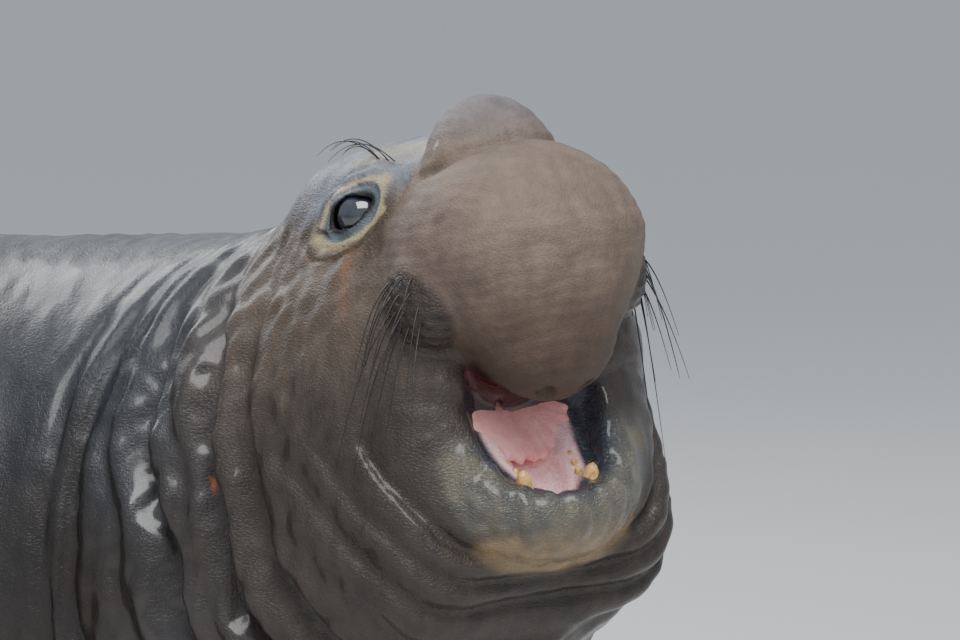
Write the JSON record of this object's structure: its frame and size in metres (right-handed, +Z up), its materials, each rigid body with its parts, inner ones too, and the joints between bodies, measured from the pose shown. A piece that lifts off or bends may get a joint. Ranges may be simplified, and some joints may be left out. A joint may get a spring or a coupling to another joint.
{
  "type": "elephant seal",
  "caption": "Still, life-size young bull elephant seal lying on its belly, head thrown back and turned right, mouth open, with a large proboscis.",
  "frame": {"origin": "on the floor, at the front of the flat that the chest and belly rest on, midway between the fore flippers", "axes": "+X from tail to chest along the body, +Y towards the animal's left, +Z up"},
  "size_m": [4.4156, 1.479, 1.0029],
  "materials": {
    "hide": "short wet fur over folded skin, grey-brown",
    "nose_skin": "matte, finely wrinkled brown skin",
    "lips": "wet wrinkled lips, dark grey to olive",
    "whiskers": "dark bumpy pads with black feelers",
    "tongue": "wet salmon-pink flesh",
    "teeth": "yellowed ivory",
    "eye": "wet, dark and cloudy",
    "claws": "dark horn"
  },
  "bodies": {
    "root": {"head": "hide", "neck": "hide", "torso_front": "hide", "torso_rear": "hide", "hindquarters": "hide", "tail": "hide", "fore_flipper_left": "hide", "fore_flipper_right": "hide", "hind_flipper_left": "hide", "hind_flipper_right": "hide", "proboscis": "nose_skin", "whisker_pad_left": "whiskers", "whisker_pad_right": "whiskers", "lower_jaw": "lips", "tongue": "tongue", "eye_left": "eye", "eye_right": "eye"}
  },
  "joints": []
}
